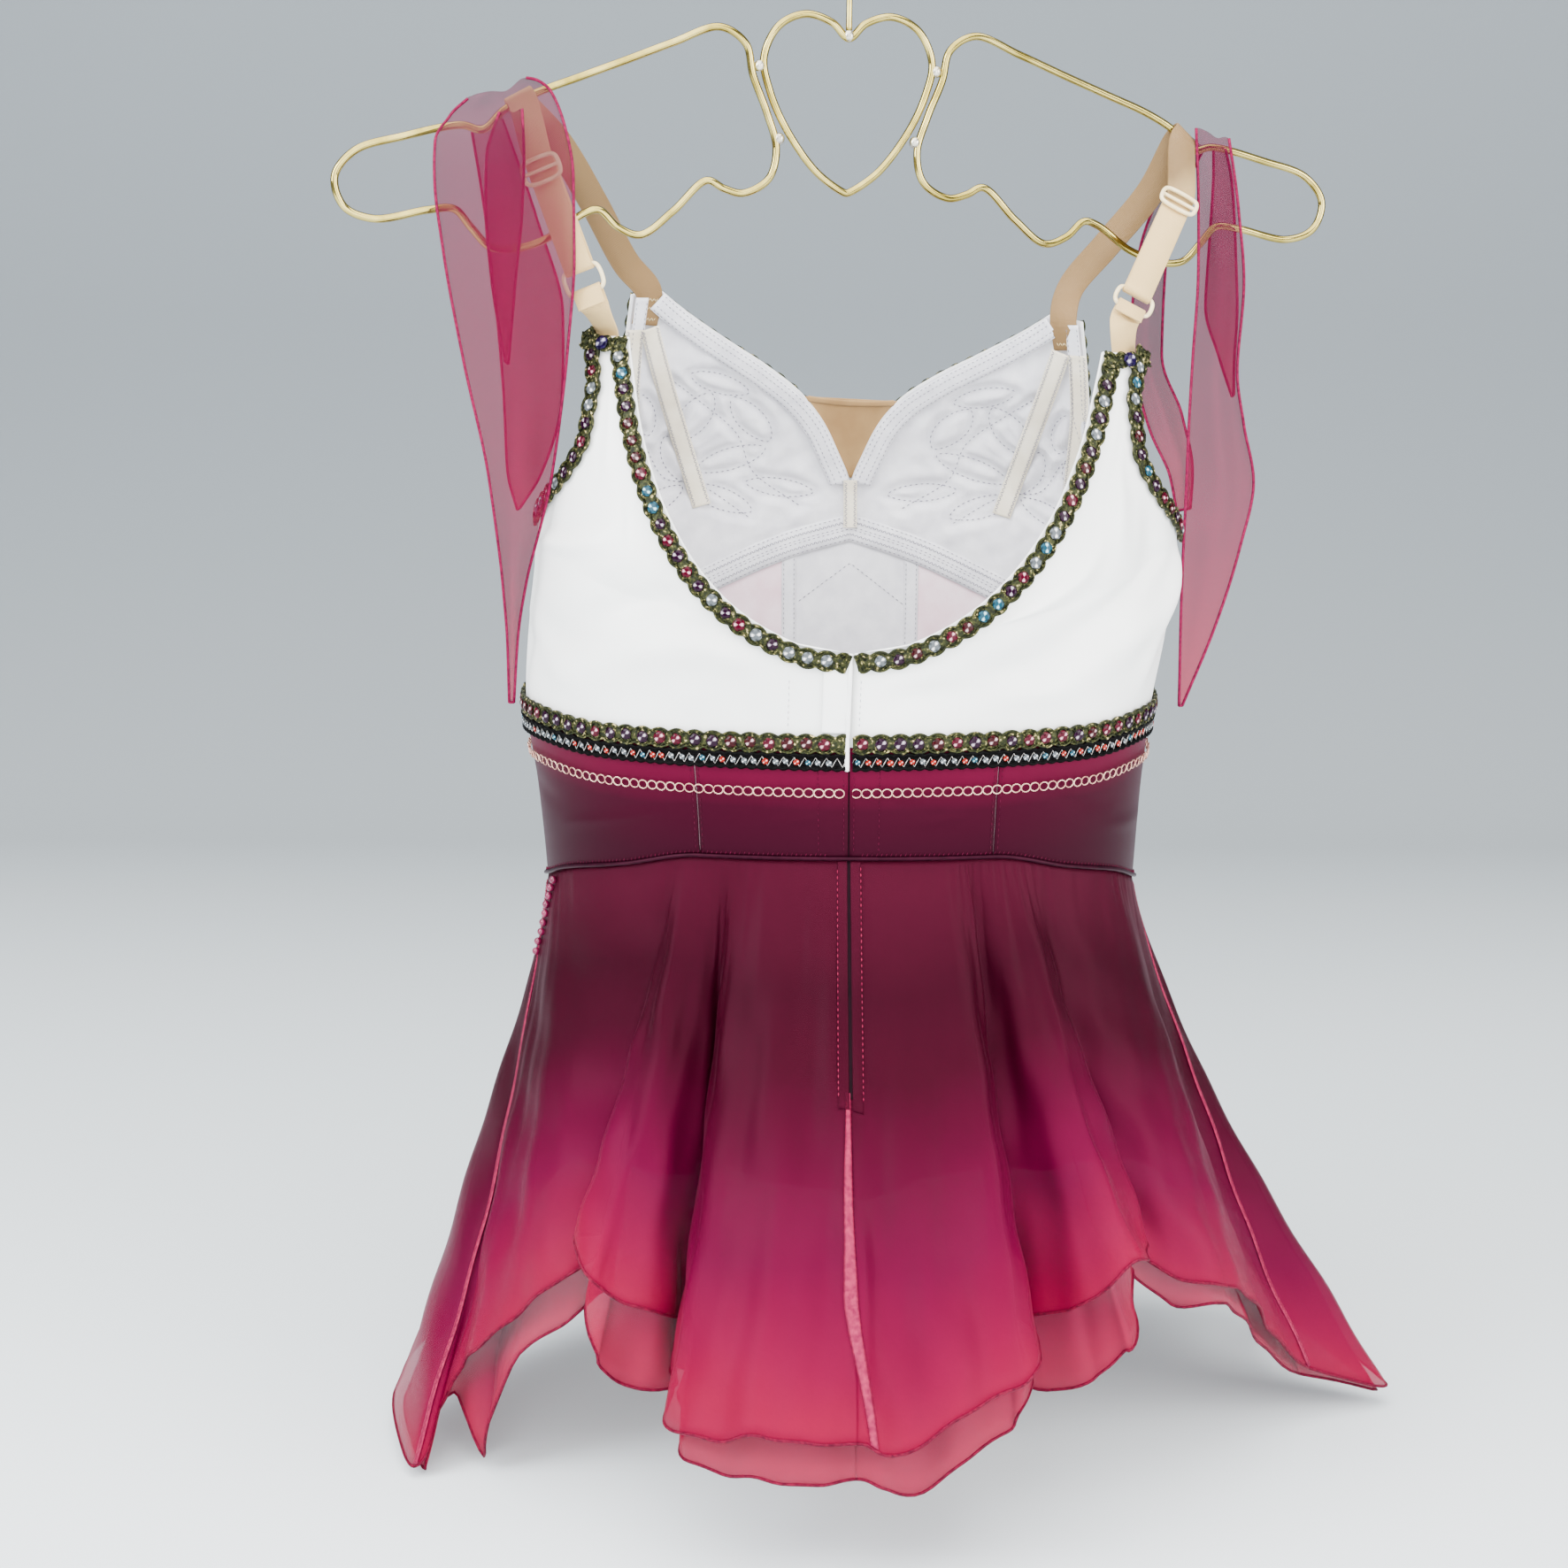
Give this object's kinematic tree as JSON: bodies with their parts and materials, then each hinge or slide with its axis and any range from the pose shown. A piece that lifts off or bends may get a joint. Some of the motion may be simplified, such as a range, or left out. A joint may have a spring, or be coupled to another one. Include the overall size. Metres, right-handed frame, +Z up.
{
  "type": "ballet dress on a hanger",
  "caption": "White satin ballet bodice with a wine midriff and an ombre organza skirt, held by its straps on a wire hanger with a heart",
  "frame": {"origin": "the inside of the crown of the hanger's hook, where the rail holds it", "axes": "+Z up, +X to the right seen from behind the dress, -Y the way the back of the dress faces, +Y its front"},
  "size_m": [0.442, 0.3738, 0.6899],
  "materials": {
    "hanger_wire": "polished, pale gold plated wire",
    "white_satin": "heavy duchess satin, soft sheen",
    "quilted_lining": "matt cotton drill with quilting stitches",
    "nude_lining": "matt power net",
    "wine_satin": "satin dyed from magenta at the top to burgundy",
    "dark_piping": "satin covered cord",
    "gold_braid": "metallic olive braid with set glass stones",
    "black_braid": "black braid with silver thread and small stones",
    "ring_chain": "pale rose metallised oval rings",
    "ombre_organza": "sheer organza, plum at the waist to bright pink at the hem",
    "under_organza": "sheer organza, pink",
    "drape_organza": "single sheer organza, rolled edges",
    "strap_elastic": "satin faced strap elastic, nude",
    "coated_metal": "nylon coated steel wire, cream"
  },
  "bodies": {
    "root": {"armhole_braid_back_left": "gold_braid", "armhole_braid_back_right": "gold_braid", "armhole_braid_front_left": "gold_braid", "armhole_braid_front_right": "gold_braid", "back_left": "white_satin", "back_right": "white_satin", "chain_trim": "ring_chain", "drape_left_back": "drape_organza", "drape_left_front": "drape_organza", "drape_left_ply": "drape_organza", "drape_right_back": "drape_organza", "drape_right_front": "drape_organza", "drape_right_ply": "drape_organza", "front_left": "white_satin", "front_right": "white_satin", "hanger_heart": "hanger_wire", "hanger_hook": "hanger_wire", "hanger_wing_left": "hanger_wire", "hanger_wing_right": "hanger_wire", "lining_cup_left": "quilted_lining", "lining_cup_right": "quilted_lining", "lining_midriff_centre": "quilted_lining", "lining_midriff_left": "quilted_lining", "lining_midriff_right": "quilted_lining", "midriff_back_left": "wine_satin", "midriff_back_right": "wine_satin", "midriff_front_centre": "wine_satin", "midriff_front_left": "wine_satin", "midriff_front_right": "wine_satin", "midriff_side_left": "wine_satin", "midriff_side_right": "wine_satin", "modesty_insert": "nude_lining", "neck_braid_back_left": "gold_braid", "neck_braid_back_right": "gold_braid", "neck_braid_front_left": "gold_braid", "neck_braid_front_right": "gold_braid", "placket_band": "white_satin", "skirt_back_left": "ombre_organza", "skirt_back_right": "ombre_organza", "skirt_front_left": "ombre_organza", "skirt_front_right": "ombre_organza", "strap_left": "strap_elastic", "strap_right": "strap_elastic", "strap_ring_left": "coated_metal", "strap_ring_right": "coated_metal", "strap_slider_left": "coated_metal", "strap_slider_right": "coated_metal", "strap_tab_left": "strap_elastic", "strap_tab_right": "strap_elastic", "underbust_black_braid": "black_braid", "underbust_braid": "gold_braid", "underskirt_back_left": "under_organza", "underskirt_back_right": "under_organza", "underskirt_front_left": "under_organza", "underskirt_front_right": "under_organza", "waist_piping": "dark_piping"}
  },
  "joints": []
}
